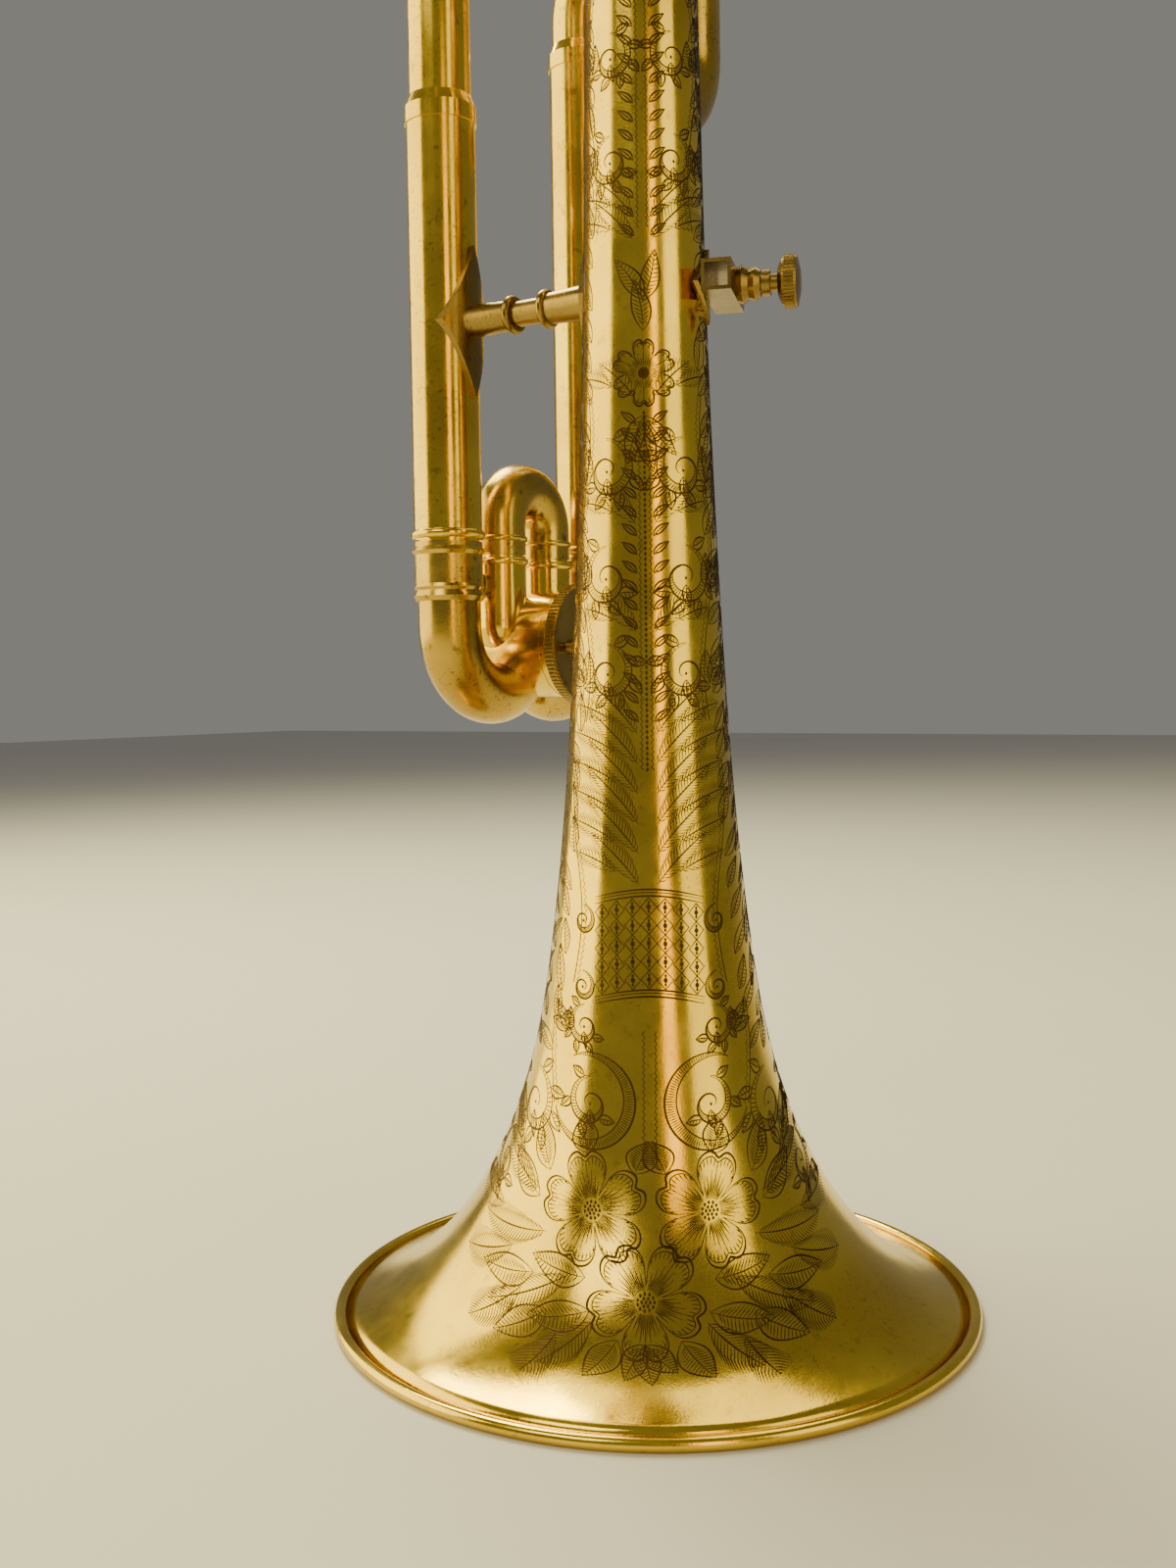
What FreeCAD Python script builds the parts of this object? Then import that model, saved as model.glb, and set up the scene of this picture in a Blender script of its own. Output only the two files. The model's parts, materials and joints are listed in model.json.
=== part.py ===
import FreeCAD, Part
import math
import os
from FreeCAD import Vector as V

# Trumpet with a quick-change rotary valve in its main tuning slide. Millimetres.
# Origin: centre of the bell's mouth plane. +Z: along the bell axis, towards the mouthpiece.
# +X: from the leadpipe to the bell. +Y: from the finger buttons to the bottom caps.

# ---- driving dimensions ----
BELL_R = 57.15           # radius of the rolled rim
SHEET = 0.6              # brass sheet and tube wall
RIM_BEAD = 1.0           # radius of the rolled rim bead
LEAD_X = -44.0           # leadpipe and both tuning-slide legs
LOWER_Y = 48.0           # lower tuning-slide leg
VALVE_X = -22.0          # plane of the three valves
VALVE_Z = (363.0, 339.0, 315.0)   # first, second and third valve
FIT = 0.05               # radial clearance of every sliding tube and shaft
GAP = 0.3                # clearance between pieces that move apart

SLEEVE_R = 6.5           # outer tubes of the tuning slide
LEG_R = SLEEVE_R - SHEET - FIT    # inner tubes of the tuning slide
SLIDE_Z = 138.0          # lower end of both outer tubes
UPPER_TOP = 218.0
LOWER_TOP = 243.0
LEG_TOP = 200.0
FERRULE_Z = 126.6        # lower end of the slide's ferrules
BOW_R = 13.0             # bend radius of each half bow
BOW_Z = 122.0            # height of its bend centre
BOW_TURN = 130.0         # degrees that each half bow turns through
TUBE_R = 6.0             # bows and bends

ROTARY_Y, ROTARY_Z = LOWER_Y / 2, 118.5
PASSAGE_R, PASSAGE_IN = 3.0, 3.5   # the change valve's passages, and their offset from the loop's legs
BARREL_R, ROTOR_R = 10.5, 7.6
BARREL_X = (-56.0, -33.0)
LOOP_HALF = 7.75         # half the distance between the loop's legs
LOOP_R = 5.3
LOOP_Z = 136.0           # lower end of the loop's bow
LOOP_BEND_Z = 142.0

CASING_R, BORE_R = 9.75, 8.45
CAP_R = 10.8             # top and bottom caps
CASING_RINGS = (-10.0, 58.0)
CASING_Y = (-26.0, 70.0)
STROKE = 16.5
FELT = 1.5
CAP_TOP, CAP_BOTTOM = -31.0, 74.0
STEM_R = 2.6
BUTTON_Y = CAP_TOP - FELT - STROKE - 0.2   # underside of a raised button

SLIDE_R = 6.3            # outer tubes of the three valve slides
INNER_R = SLIDE_R - SHEET - FIT

STEM_TOP = 405.0         # the bell's soldered joint with its bow
BELL_SEAM = 100.0        # brazed ring seam between the bell's flare and its tail
BELL_BOW_R = 23.0
RECEIVER_Z = (440.0, 490.0)
SHANK_Z = 463.0          # lower end of the mouthpiece when it is seated
FRONT_BRACE_Z, REAR_BRACE_Z = 178.0, 385.0
BELL_AT_FRONT, BELL_AT_REAR = 10.55, 6.9   # the bell's radius at the two braces
PIPE_AT_REAR = 5.62      # the leadpipe's radius at the rear brace
LYRE_ANGLE = 20.0        # direction of the lyre holder around the bell, from +X
LYRE_Z = FRONT_BRACE_Z

# (height, outer radius) of the bell's sheet from the mouth to the stem
BELL_OUTLINE = ((1.0, 56.2), (4.0, 49.0), (8.0, 42.6), (16.0, 34.8), (27.0, 28.0), (43.0, 21.8),
                (65.0, 17.6), (90.0, 14.9), (120.0, 12.9), (160.0, 11.1), (220.0, 9.7),
                (300.0, 8.3), (STEM_TOP, 6.7))

X, Y, Z = V(1, 0, 0), V(0, 1, 0), V(0, 0, 1)


# ---- building blocks ----
def rod(start, end, radius):
    a, b = V(*start), V(*end)
    return Part.makeCylinder(radius, (b - a).Length, a, b - a)


def tube(start, end, radius, bore):
    return rod(start, end, radius).cut(rod(start, end, bore))


def cone(start, end, r_start, r_end):
    a, b = V(*start), V(*end)
    return Part.makeCone(r_start, r_end, (b - a).Length, a, b - a)


def bead(centre, axis, radius, thickness):
    return Part.makeTorus(radius, thickness, V(*centre), axis)


def route(points, radii):
    """A wire of straight runs joined by tangent arcs, one radius for each inner point."""
    pts = [V(*p) for p in points]
    edges, last = [], pts[0]
    for before, corner, after, radius in zip(pts, pts[1:], pts[2:], radii):
        u, w = (corner - before).normalize(), (after - corner).normalize()
        turn = u.getAngle(w)
        reach = radius * math.tan(turn / 2)
        start, end = corner - u * reach, corner + w * reach
        bisector = (w - u).normalize()
        middle = corner + bisector * (radius / math.cos(turn / 2) - radius)
        if (start - last).Length > 1e-4:
            edges.append(Part.LineSegment(last, start).toShape())
        edges.append(Part.Arc(start, middle, end).toShape())
        last = end
    if (pts[-1] - last).Length > 1e-4:
        edges.append(Part.LineSegment(last, pts[-1]).toShape())
    return Part.Wire(edges)


def bar(points, radii, radius):
    """A round bar along a route."""
    path = route(points, radii)
    heading = V(*points[1]) - V(*points[0])
    section = Part.Wire([Part.makeCircle(radius, V(*points[0]), heading)])
    return path.makePipeShell([section], True, True)


def bent_tube(points, radii, radius, bore):
    return bar(points, radii, radius).cut(bar(points, radii, bore))


def revolved(outline, axis_start, axis=Z):
    """A solid of revolution from (along, radius) points of a closed outline."""
    face = Part.Face(Part.makePolygon([V(r, 0, a) for a, r in outline + outline[:1]]))
    solid = face.revolve(V(0, 0, 0), Z, 360)
    turn = FreeCAD.Rotation(Z, axis)
    solid.Placement = FreeCAD.Placement(V(*axis_start), turn)
    return solid


def diamond_saddle(centre, axis_point, tube_r, height, width, thickness):
    """A diamond flange wrapped on an upright tube, facing from axis_point to centre."""
    face_dir = (V(*centre) - V(*axis_point)).normalize()
    side = Z.cross(face_dir)
    tips = (Z * (height / 2), side * (width / 2), Z * (-height / 2), side * (-width / 2))
    base = V(*axis_point)
    outline = Part.Face(Part.makePolygon([base + t for t in tips + tips[:1]]))
    prism = outline.extrude(face_dir * (tube_r + thickness + 1))
    foot, top = base - Z * height, base + Z * height
    shell = tube(tuple(foot), tuple(top), tube_r + thickness, tube_r)
    return prism.common(shell)


def turned_rod(start, end, waist, collar):
    """A lathe-turned brace bar: two thicker ends, a waist, and a ring bead where they meet."""
    a, b = V(*start), V(*end)
    heading, length = (b - a).normalize(), (b - a).Length
    end_share, bead_r = 0.36, 0.4
    shape = rod(start, end, waist)
    for near, far in ((a, heading), (b, heading * -1)):
        shape = shape.fuse(cone(tuple(near), tuple(near + far * length * end_share), collar, collar * 0.88))
    for share in (end_share, 1 - end_share):
        middle = tuple(a + heading * length * share)
        shape = shape.fuse(bead(middle, heading, collar - bead_r, 2 * bead_r))
    return shape


def u_slide(direction, start, legs, bend_at, radius, bore, inner_to):
    """A U bow whose inner legs run back into their outer tubes. legs are the two Y positions."""
    low, high = legs
    half = (high - low) / 2
    far = bend_at + direction[1] * half

    def place(along, y):
        return (along, y, start[2]) if direction[0] == "x" else (start[0], y, along)

    points = [place(start[1], low), place(far, low), place(far, high), place(start[1], high)]
    shape = bent_tube(points, [half, half], radius, bore)
    for y in legs:
        leg = tube(place(inner_to, y), place(start[1] + direction[1] * 2, y), radius - SHEET - FIT, bore)
        shape = shape.fuse(leg)
    return shape


# ---- bell and leadpipe side ----
def bell_radius_points(offset):
    points = []
    for i, (z, r) in enumerate(BELL_OUTLINE):
        z0, r0 = BELL_OUTLINE[max(i - 1, 0)]
        z1, r1 = BELL_OUTLINE[min(i + 1, len(BELL_OUTLINE) - 1)]
        along = V(r1 - r0, 0, z1 - z0).normalize()
        normal = V(along.z, 0, -along.x)
        points.append(V(r, 0, z) - normal * offset)
    return points


def whole_bell():
    outer, inner = bell_radius_points(0), bell_radius_points(SHEET)
    inner[-1] = V(inner[-1].x, 0, outer[-1].z)
    curves = []
    for line in (outer, inner):
        spline = Part.BSplineCurve()
        spline.interpolate(line)
        curves.append(spline.toShape())
    mouth = Part.LineSegment(outer[0], inner[0]).toShape()
    top = Part.LineSegment(outer[-1], inner[-1]).toShape()
    wire = Part.Wire(Part.sortEdges([curves[0], top, curves[1], mouth])[0])
    sheet = Part.Face(wire).revolve(V(0, 0, 0), Z, 360)
    land = 0.1
    ring = bead((0, 0, RIM_BEAD - land), Z, BELL_R - RIM_BEAD, RIM_BEAD)
    ring = ring.cut(Part.makeBox(200, 200, 5, V(-100, -100, -5)))
    return sheet.fuse(ring)


def tail_space():
    return rod((0, 0, BELL_SEAM), (0, 0, STEM_TOP + 10), BELL_R)


def bell():
    """The spun flare with its rolled rim, up to the ring seam."""
    return whole_bell().cut(tail_space())


def bell_tail():
    """The rolled and drawn tail, from the ring seam to the bell's bow."""
    return whole_bell().common(tail_space())


def bell_bow():
    end_x = VALVE_X + CASING_R
    top = STEM_TOP + 28
    points = [(0, 0, STEM_TOP), (0, 0, top), (0, 2 * BELL_BOW_R, top),
              (0, 2 * BELL_BOW_R, VALVE_Z[0]), (end_x - 2, 2 * BELL_BOW_R, VALVE_Z[0])]
    shape = bent_tube(points, [BELL_BOW_R, BELL_BOW_R, 11.0], TUBE_R, TUBE_R - SHEET)
    return shape.cut(casing_envelope(VALVE_Z[0]))


def bell_bow_ferrule():
    return revolved([(-8, 6.7), (-8, 7.4), (-6.6, 7.9), (-5.2, 7.3), (2.4, 7.2), (3.6, 7.7),
                     (4.8, 7.2), (4.8, 6.01), (0, 6.01), (0, 6.7)], (0, 0, STEM_TOP))


def leadpipe():
    outer = cone((LEAD_X, 0, UPPER_TOP - 6), (LEAD_X, 0, RECEIVER_Z[0] + 10), SLEEVE_R - SHEET, 5.4)
    bore = cone((LEAD_X, 0, UPPER_TOP - 6), (LEAD_X, 0, RECEIVER_Z[0] + 10), 5.4, 4.4)
    return outer.cut(bore)


def mouthpiece_receiver():
    z0, z1 = RECEIVER_Z
    outline = [(0, 5.5), (0, 6.6), (2, 7.2), (4, 6.6), (z1 - z0 - 7, 6.9), (z1 - z0 - 5, 7.6),
               (z1 - z0 - 1, 7.6), (z1 - z0, 7.2), (z1 - z0, 5.35 + FIT), (22, 4.9 + FIT), (10, 4.6),
               (10, 5.5)]
    return revolved(outline, (LEAD_X, 0, z0))


def slide_sleeve(y, top):
    """An outer tube of the tuning slide, with a ring bead at its mouth and a collar on top."""
    shape = tube((LEAD_X, y, SLIDE_Z), (LEAD_X, y, top), SLEEVE_R, SLEEVE_R - SHEET)
    mouth = bead((LEAD_X, y, SLIDE_Z + 1.1), Z, SLEEVE_R - 0.3, 0.9)
    collar = revolved([(0, SLEEVE_R - 0.2), (0, SLEEVE_R + 0.25), (3, SLEEVE_R + 0.25),
                       (5, SLEEVE_R - 0.5), (5, SLEEVE_R - SHEET), (0, SLEEVE_R - SHEET)],
                      (LEAD_X, y, top - 3))
    ring = mouth.cut(rod((LEAD_X, y, SLIDE_Z - 5), (LEAD_X, y, SLIDE_Z + 5), SLEEVE_R - SHEET))
    return shape.fuse([ring, collar])


def third_valve_tube():
    z = VALVE_Z[2]
    end_x = VALVE_X - CASING_R + 2
    points = [(LEAD_X, LOWER_Y, LOWER_TOP - 6), (LEAD_X, LOWER_Y, LOWER_TOP + 8),
              (LEAD_X + 4, LOWER_Y, LOWER_TOP + 26), (LEAD_X + 4, LOWER_Y, z), (end_x, LOWER_Y, z)]
    radius = SLEEVE_R - SHEET
    return bent_tube(points, [20, 20, 8], radius, radius - SHEET).cut(casing_envelope(z))


# ---- braces and holders ----
def brace(z, x_from, r_from, x_to, r_to, height, width):
    start, end = (x_from + r_from, 0, z), (x_to - r_to, 0, z)
    saddle_a = diamond_saddle(start, (x_from, 0, z), r_from, height, width, 0.9)
    saddle_b = diamond_saddle(end, (x_to, 0, z), r_to, height * 0.86, width, 0.9)
    shape = turned_rod(start, end, 2.3, 3.1).fuse([saddle_a, saddle_b])
    for axis_x, radius in ((x_from, r_from), (x_to, r_to)):
        shape = shape.cut(rod((axis_x, 0, z - 40), (axis_x, 0, z + 40), radius))
    return shape


def short_brace(x_from, x_to):
    z = VALVE_Z[1]
    shape = turned_rod((x_from, 0, z), (x_to, 0, z), 1.9, 2.6)
    shape = shape.cut(casing_envelope(z))
    pipe_x, pipe_r = (LEAD_X, 5.7) if x_from < VALVE_X - CASING_R else (0, 7.6)
    return shape.cut(rod((pipe_x, 0, z - 20), (pipe_x, 0, z + 20), pipe_r))


def lyre_place(shape):
    """Turn a shape built beside +X to the lyre holder's place on the bell."""
    shape.rotate(V(0, 0, 0), Z, LYRE_ANGLE)
    shape.translate(V(0, 0, LYRE_Z))
    return shape


LYRE_BOX = (11.2, 16.2, 17.0, 5.2, 3.9)   # inner and outer radius, length, height, square hole
LYRE_SCREW_R = 1.5
KNOB_R = 4.45


def lyre_box():
    inner, outer, length, height, hole = LYRE_BOX
    box = Part.makeBox(outer - inner, length, height, V(inner, -length / 2, -height / 2))
    middle = (inner + outer) / 2
    passage = Part.makeBox(hole, length + 2, hole, V(middle - hole / 2, -length / 2 - 1, -hole / 2))
    collar = revolved([(0, 0.1), (0, 2.9), (1.0, 3.3), (2.0, 2.5), (3.0, 2.9), (4.0, 2.3), (4.0, 0.1)],
                      (outer, 0, 0), X)
    foot = diamond_saddle((1, 0, 0), (0, 0, 0), BELL_AT_FRONT, 12.7, 10.0, 0.8)
    shape = box.fuse([collar, foot]).cut(passage)
    bore = rod((middle, 0, 0), (outer + 5, 0, 0), LYRE_SCREW_R)
    return lyre_place(shape.cut([bore, rod((0, 0, -20), (0, 0, 20), BELL_AT_FRONT)]))


def lyre_screw():
    outer = LYRE_BOX[1]
    shank = rod((outer - 0.8, 0, 0), (outer + 7.2, 0, 0), LYRE_SCREW_R - FIT)
    collar = rod((outer + 4 + GAP, 0, 0), (outer + 5.6, 0, 0), 2.2)
    knob = revolved([(0, 0.1), (0, 2.6), (0.8, 4.2), (1.2, KNOB_R), (2.8, KNOB_R), (3.2, 4.2), (3.7, 2.0),
                     (3.7, 0.1)], (outer + 7, 0, 0), X)
    notches = []
    count, cutter = 48, 0.18
    for i in range(count):
        angle = 2 * math.pi * i / count
        y, z = KNOB_R * math.cos(angle), KNOB_R * math.sin(angle)
        notches.append(rod((outer + 6.5, y, z), (outer + 12, y, z), cutter))
    return lyre_place(knob.cut(notches).fuse([shank, collar]))


def finger_hook():
    x, z, wire_r, pipe_r = LEAD_X, 292.0, 1.7, 5.85
    points = [(x, -5.0, z), (x, -14, z - 1), (x, -25, z + 3), (x, -25, z + 20), (x, -16, z + 25)]
    shape = bar(points, [6, 6, 6], wire_r)
    foot = diamond_saddle((x, -1, z), (x, 0, z), pipe_r, 13, 9, 0.9)
    tip = Part.makeSphere(wire_r + 0.4, V(*points[-1]))
    return shape.fuse([foot, tip]).cut(rod((x, 0, z - 30), (x, 0, z + 30), pipe_r))


# ---- valves ----
def casing_envelope(z):
    return rod((VALVE_X, CASING_Y[0], z), (VALVE_X, CASING_Y[1], z), CASING_R)


def valve_casing(z):
    y0, y1 = CASING_Y
    shape = tube((VALVE_X, y0, z), (VALVE_X, y1, z), CASING_R, BORE_R)
    for y in CASING_RINGS:
        ring = bead((VALVE_X, y, z), Y, CASING_R, 0.7)
        shape = shape.fuse(ring.cut(rod((VALVE_X, y0, z), (VALVE_X, y1, z), BORE_R + 0.5)))
    return shape


def valve_top_cap(z):
    y0 = CASING_Y[0]
    depth = y0 - CAP_TOP
    outline = [(0, STEM_R + 0.3), (0, 8.6), (1.2, 10.2), (2.6, CAP_R), (9, CAP_R), (10, 10.2),
               (10, CASING_R), (depth, CASING_R), (depth, STEM_R + 0.3)]
    return revolved(outline, (VALVE_X, CAP_TOP, z), Y)


def valve_bottom_cap(z):
    y1 = CASING_Y[1]
    overlap, floor = 7.0, 2.2
    start = y1 - overlap
    outline = [(0, CASING_R), (0, 10.4), (0.8, CAP_R), (6.2, CAP_R), (9.0, 9.4), (10.2, 5.0),
               (CAP_BOTTOM - start, 3.2), (CAP_BOTTOM - start, 1.0), (overlap + floor, 1.0),
               (overlap + floor, 8.6), (overlap, 8.6), (overlap, CASING_R)]
    return revolved(outline, (VALVE_X, start, z), Y)


PISTON_Y = (CASING_Y[0] + 6.0, CASING_Y[1] - STROKE)
SPRING_SEAT = PISTON_Y[1] - 12.0   # floor of the well in the piston's lower end
PORT_R = 5.2


def valve_piston(z):
    y0, y1 = PISTON_Y
    shape = rod((VALVE_X, y0, z), (VALVE_X, y1, z), BORE_R - FIT)
    well = rod((VALVE_X, SPRING_SEAT, z), (VALVE_X, y1, z), BORE_R - 1.45)
    shape = shape.cut(well)
    for y, heading in ((4.0, X), (18.0, Z), (32.0, X)):
        start = V(VALVE_X, y, z) - heading * 12
        shape = shape.cut(Part.makeCylinder(PORT_R, 24, start, heading))
    return shape.fuse(rod((VALVE_X, BUTTON_Y, z), (VALVE_X, y0, z), STEM_R))


def valve_button(z):
    outline = [(0, 0.1), (0, 6.6), (0.6, 7.2), (2.6, 7.2), (3.2, 6.6), (3.2, 5.6), (2.0, 5.6), (2.0, 0.1)]
    return revolved([(-a, r) for a, r in outline], (VALVE_X, BUTTON_Y, z), Y)


def button_pearl(z):
    outline = [(2.0, 0.0), (2.0, 5.6), (3.2, 5.6), (3.6, 4.6), (3.4, 3.0), (3.3, 0.0)]
    return revolved([(-a, r) for a, r in outline], (VALVE_X, BUTTON_Y, z), Y)


def valve_spring(z):
    wire_r, coil_r, pitch = 0.45, 5.2, 4.2
    length = CASING_Y[1] + 2.2 - SPRING_SEAT - 2 * wire_r - 0.2
    helix = Part.makeHelix(pitch, length, coil_r)
    start = V(coil_r, 0, 0)
    section = Part.Wire([Part.makeCircle(wire_r, start, V(0, 1, pitch / (2 * math.pi * coil_r)))])
    shape = Part.Wire(helix.Edges).makePipeShell([section], True, True)
    shape.Placement = FreeCAD.Placement(V(VALVE_X, SPRING_SEAT + wire_r + 0.1, z), FreeCAD.Rotation(Z, Y))
    return shape


def crossover_tubes():
    tubes = []
    for upper, lower in zip(VALVE_Z, VALVE_Z[1:]):
        for y in (12.0, 36.0):
            piece = tube((VALVE_X, y, lower), (VALVE_X, y, upper), 5.9, 5.3)
            tubes.append(piece.cut([casing_envelope(upper), casing_envelope(lower)]))
    return Part.makeCompound(tubes)


# ---- valve slides ----
FIRST_LEGS, SECOND_LEGS, THIRD_LEGS = (24.0, 50.0), (22.0, 44.0), (28.4, 56.4)   # the legs' Y
FIRST_END, SECOND_END, THIRD_END = 400.0, -47.0, 254.7      # where the outer tubes end
FIRST_BEND, SECOND_BEND, THIRD_BEND = 412.7, -51.0, 240.0   # where the bends start


def first_slide_tubes():
    tubes = [tube((VALVE_X, y, VALVE_Z[0]), (VALVE_X, y, FIRST_END), SLIDE_R, SLIDE_R - SHEET)
             for y in FIRST_LEGS]
    return Part.makeCompound([t.cut(casing_envelope(VALVE_Z[0])) for t in tubes])


def first_slide_bow():
    return u_slide(("z", 1), (VALVE_X, FIRST_END + GAP), FIRST_LEGS, FIRST_BEND, SLIDE_R,
                   INNER_R - SHEET, FIRST_END - 22)


def second_slide_tubes():
    z = VALVE_Z[1]
    tubes = [tube((SECOND_END, y, z), (VALVE_X, y, z), SLIDE_R, SLIDE_R - SHEET) for y in SECOND_LEGS]
    return Part.makeCompound([t.cut(casing_envelope(z)) for t in tubes])


def second_slide_bow():
    return u_slide(("x", -1), (0, SECOND_END - GAP, VALVE_Z[1]), SECOND_LEGS, SECOND_BEND, SLIDE_R,
                   INNER_R - SHEET, SECOND_END + 13)


def third_slide_tubes():
    z = VALVE_Z[2]
    tubes = [tube((VALVE_X, y, THIRD_END), (VALVE_X, y, z), SLIDE_R, SLIDE_R - SHEET) for y in THIRD_LEGS]
    return Part.makeCompound([t.cut(casing_envelope(z)) for t in tubes])


def third_slide_bow():
    return u_slide(("z", -1), (VALVE_X, THIRD_END - GAP), THIRD_LEGS, THIRD_BEND, SLIDE_R,
                   INNER_R - SHEET, THIRD_END + 38)


RING_Y, RING_Z, RING_R = 8.2, 262.0, 11.0


def third_slide_ring():
    """The finger ring, on a slanting post from the slide's upper leg."""
    ring = bead((VALVE_X, RING_Y, RING_Z), X, RING_R, 1.4)
    corner = RING_R * math.sqrt(0.5)
    foot = (VALVE_X, THIRD_LEGS[0] - SLIDE_R + 2, THIRD_BEND + 6)
    post = rod((VALVE_X, RING_Y + corner, RING_Z - corner), foot, 1.8)
    leg = rod((VALVE_X, THIRD_LEGS[0], foot[2] - 20), (VALVE_X, THIRD_LEGS[0], foot[2] + 20), SLIDE_R)
    return ring.fuse(post).cut(leg)


# ---- main tuning slide with the change valve ----
def slide_leg(y):
    return tube((LEAD_X, y, FERRULE_Z), (LEAD_X, y, LEG_TOP), LEG_R, LEG_R - SHEET)


def slide_ferrule(y):
    length = SLIDE_Z - FERRULE_Z - GAP
    r = SLEEVE_R
    outline = [(0, LEG_R), (0, r - 0.1), (0.9, r + 0.35), (2.0, r - 0.1), (2.6, r + 0.25), (3.2, r),
               (length - 2.4, r), (length - 1.7, r + 0.5), (length - 0.9, r), (length, r), (length, LEG_R)]
    return revolved(outline, (LEAD_X, y, FERRULE_Z))


def half_bow_points(y, sign):
    """The route from a ferrule, round the bend and up into the barrel; sign points to the barrel."""
    turn = math.radians(BOW_TURN)
    reach = BOW_R * math.tan(turn / 2)
    corner_z = BOW_Z - reach
    run = reach + 5.0
    end = (LEAD_X, y + sign * run * math.sin(turn), corner_z - run * math.cos(turn))
    return [(LEAD_X, y, FERRULE_Z), (LEAD_X, y, corner_z), end]


def half_bow(y, sign):
    """A bend from a ferrule into the change valve's barrel. The two meet in the plane between."""
    shape = bent_tube(half_bow_points(y, sign), [BOW_R], TUBE_R, TUBE_R - SHEET)
    barrel = rod((BARREL_X[0] - 5, ROTARY_Y, ROTARY_Z), (BARREL_X[1] + 5, ROTARY_Y, ROTARY_Z), BARREL_R)
    other_side = Part.makeBox(40, 40, 60, V(LEAD_X - 20, ROTARY_Y - (0 if sign > 0 else 40), 90))
    return shape.cut([barrel, other_side])


def rotary_barrel():
    x0, x1 = BARREL_X
    shape = tube((x0, ROTARY_Y, ROTARY_Z), (x1, ROTARY_Y, ROTARY_Z), BARREL_R, ROTOR_R)
    for side in (-1, 1):
        y = ROTARY_Y + side * (LOOP_HALF - PASSAGE_IN)
        shape = shape.cut(rod((LEAD_X, y, ROTARY_Z - 20), (LEAD_X, y, ROTARY_Z + 20), PASSAGE_R))
    return shape


def rotary_end_cap():
    outline = [(0, 0.1), (0, 8.2), (1.0, 9.6), (3.4, 9.6), (4.0, 9.2), (4.0, 0.1)]
    return revolved(outline, (BARREL_X[0] - 4.0, ROTARY_Y, ROTARY_Z), X)


def rotary_front_plate():
    outline = [(0, STEM_R + FIT), (0, BARREL_R - 0.1), (1.2, BARREL_R - 0.1), (1.8, 9.2),
               (1.8, STEM_R + FIT)]
    return revolved(outline, (BARREL_X[1], ROTARY_Y, ROTARY_Z), X)


def rotor():
    x0, x1 = BARREL_X
    shape = rod((x0 + 0.1, ROTARY_Y, ROTARY_Z), (x1 - 0.1, ROTARY_Y, ROTARY_Z), ROTOR_R - FIT)
    for side in (-1, 1):
        y = ROTARY_Y + side * (LOOP_HALF - PASSAGE_IN)
        shape = shape.cut(rod((LEAD_X, y, ROTARY_Z - 12), (LEAD_X, y, ROTARY_Z + 12), PASSAGE_R - 0.1))
    return shape.fuse(rod((x1 - 0.1, ROTARY_Y, ROTARY_Z), (x1 + 3.2, ROTARY_Y, ROTARY_Z), STEM_R))


WHEEL_R, WHEEL_T, WHEEL_X = 12.0, 2.4, BARREL_X[1] + 2.2


def change_wheel():
    """The knurled handwheel, with a recessed face."""
    outline = [(0, STEM_R), (0, WHEEL_R - 0.3), (0.3, WHEEL_R), (WHEEL_T - 0.3, WHEEL_R),
               (WHEEL_T, WHEEL_R - 0.3), (WHEEL_T, WHEEL_R - 1.5), (1.4, WHEEL_R - 1.8), (1.4, 0.1),
               (1.0, 0.1), (1.0, STEM_R)]
    shape = revolved(outline, (WHEEL_X, ROTARY_Y, ROTARY_Z), X)
    notches = []
    count, cutter = 90, 0.26
    for i in range(count):
        angle = 2 * math.pi * i / count
        y, z = ROTARY_Y + WHEEL_R * math.cos(angle), ROTARY_Z + WHEEL_R * math.sin(angle)
        notches.append(rod((WHEEL_X - 1, y, z), (WHEEL_X + 6, y, z), cutter))
    return shape.cut(notches)


def wheel_stud():
    outline = [(0, 0.1), (0, 1.0), (1.2, 1.0), (1.7, 1.6), (2.9, 1.5), (3.5, 0.8), (3.5, 0.1)]
    return revolved(outline, (WHEEL_X + 1.4, ROTARY_Y - 7.3, ROTARY_Z - 0.8), X)


def loop_sleeves():
    parts = []
    barrel = rod((BARREL_X[0], ROTARY_Y, ROTARY_Z), (BARREL_X[1], ROTARY_Y, ROTARY_Z), BARREL_R)
    for side in (-1, 1):
        y = ROTARY_Y + side * LOOP_HALF
        outer = rod((LEAD_X, y, ROTARY_Z + 4), (LEAD_X, y, LOOP_Z), LOOP_R)
        elbow = Part.makeSphere(LOOP_R, V(LEAD_X, y, ROTARY_Z + 4))
        ring = bead((LEAD_X, y, LOOP_Z - 1.0), Z, LOOP_R - 0.2, 0.7)
        bore = rod((LEAD_X, y, ROTARY_Z + 2), (LEAD_X, y, LOOP_Z + 3), LOOP_R - 0.5)
        parts.append(outer.fuse([elbow, ring]).cut([barrel, bore]))
    return Part.makeCompound(parts)


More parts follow.
